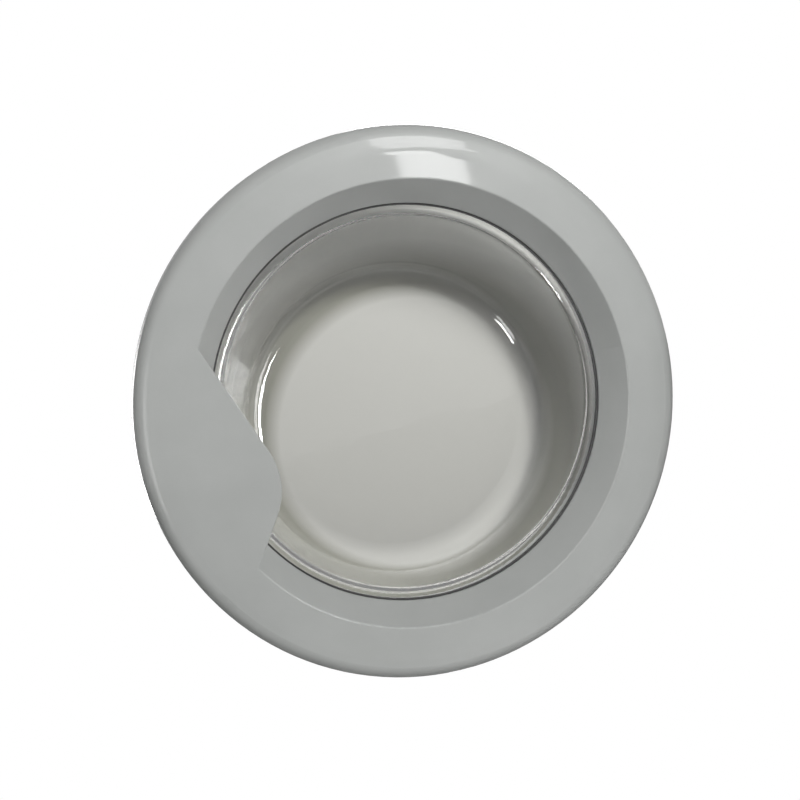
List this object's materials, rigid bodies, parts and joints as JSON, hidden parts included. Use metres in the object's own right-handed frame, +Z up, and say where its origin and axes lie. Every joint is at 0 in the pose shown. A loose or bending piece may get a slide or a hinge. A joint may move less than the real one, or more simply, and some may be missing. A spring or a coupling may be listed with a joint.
{
  "type": "washing machine door",
  "caption": "Round washing machine door: silver moulded ring with a fin-shaped handle plate, pressed clear glass bowl, sprung latch hook worked by a hidden lever, and a side hinge.",
  "frame": {"origin": "centre of the hinge plate's screw holes, on the cabinet's front plane", "axes": "+Z up, -Y towards the front, +Y into the machine; the handle is at -X and the hinge at +X, door closed"},
  "size_m": [0.44, 0.104, 0.44],
  "materials": {
    "silver_plastic": "satin silver paint",
    "grey_plastic": "fine matt",
    "seal_rubber": "matt",
    "bowl_glass": "clear, pressed",
    "dark_plastic": "fine matt",
    "cast_zinc": "die cast",
    "zinc_sheet": "zinc plated",
    "spring_steel": "bright wire",
    "bright_steel": "zinc plated",
    "hinge_metal": "die cast",
    "bush_plastic": "plain"
  },
  "bodies": {
    "hinge_base": {"hinge_plate": "hinge_metal", "hinge_pin": "bright_steel", "hinge_pin_clip": "spring_steel"},
    "door": {"outer_frame": "silver_plastic", "inner_frame": "grey_plastic", "glass_seal": "seal_rubber", "glass_bowl": "bowl_glass", "latch_carrier": "zinc_sheet", "latch_pin": "bright_steel", "latch_pin_clip": "spring_steel", "carrier_screws": "bright_steel", "frame_screws": "bright_steel", "hinge_leaf": "hinge_metal", "hinge_leaf_screws": "bright_steel", "hinge_bush_upper": "bush_plastic", "hinge_bush_lower": "bush_plastic"},
    "lever": {"release_lever": "dark_plastic", "lever_spring": "spring_steel"},
    "hook": {"latch_hook": "cast_zinc", "hook_spring": "spring_steel"}
  },
  "joints": [
    {"name": "door_swing", "type": "hinge", "parent": "hinge_base", "child": "door", "pos_m": [0.027, -0.02, 0], "axis": [0, 0, 1], "range_deg": [0, 130]},
    {"name": "lever_pull", "type": "hinge", "parent": "door", "child": "lever", "pos_m": [-0.379, -0.022, 0], "axis": [0, 0, -1], "range_deg": [0, 12], "stiffness_Nm_per_rad": 0.8, "springref_deg": -20.05},
    {"name": "hook_turn", "type": "hinge", "parent": "door", "child": "hook", "pos_m": [-0.379, -0.022, 0], "axis": [0, 0, -1], "range_deg": [0, 12], "stiffness_Nm_per_rad": 0.8, "springref_deg": -20.05}
  ],
  "couplings": [
    {"joint": "hook_turn", "follows": "lever_pull", "ratio": 1}
  ]
}
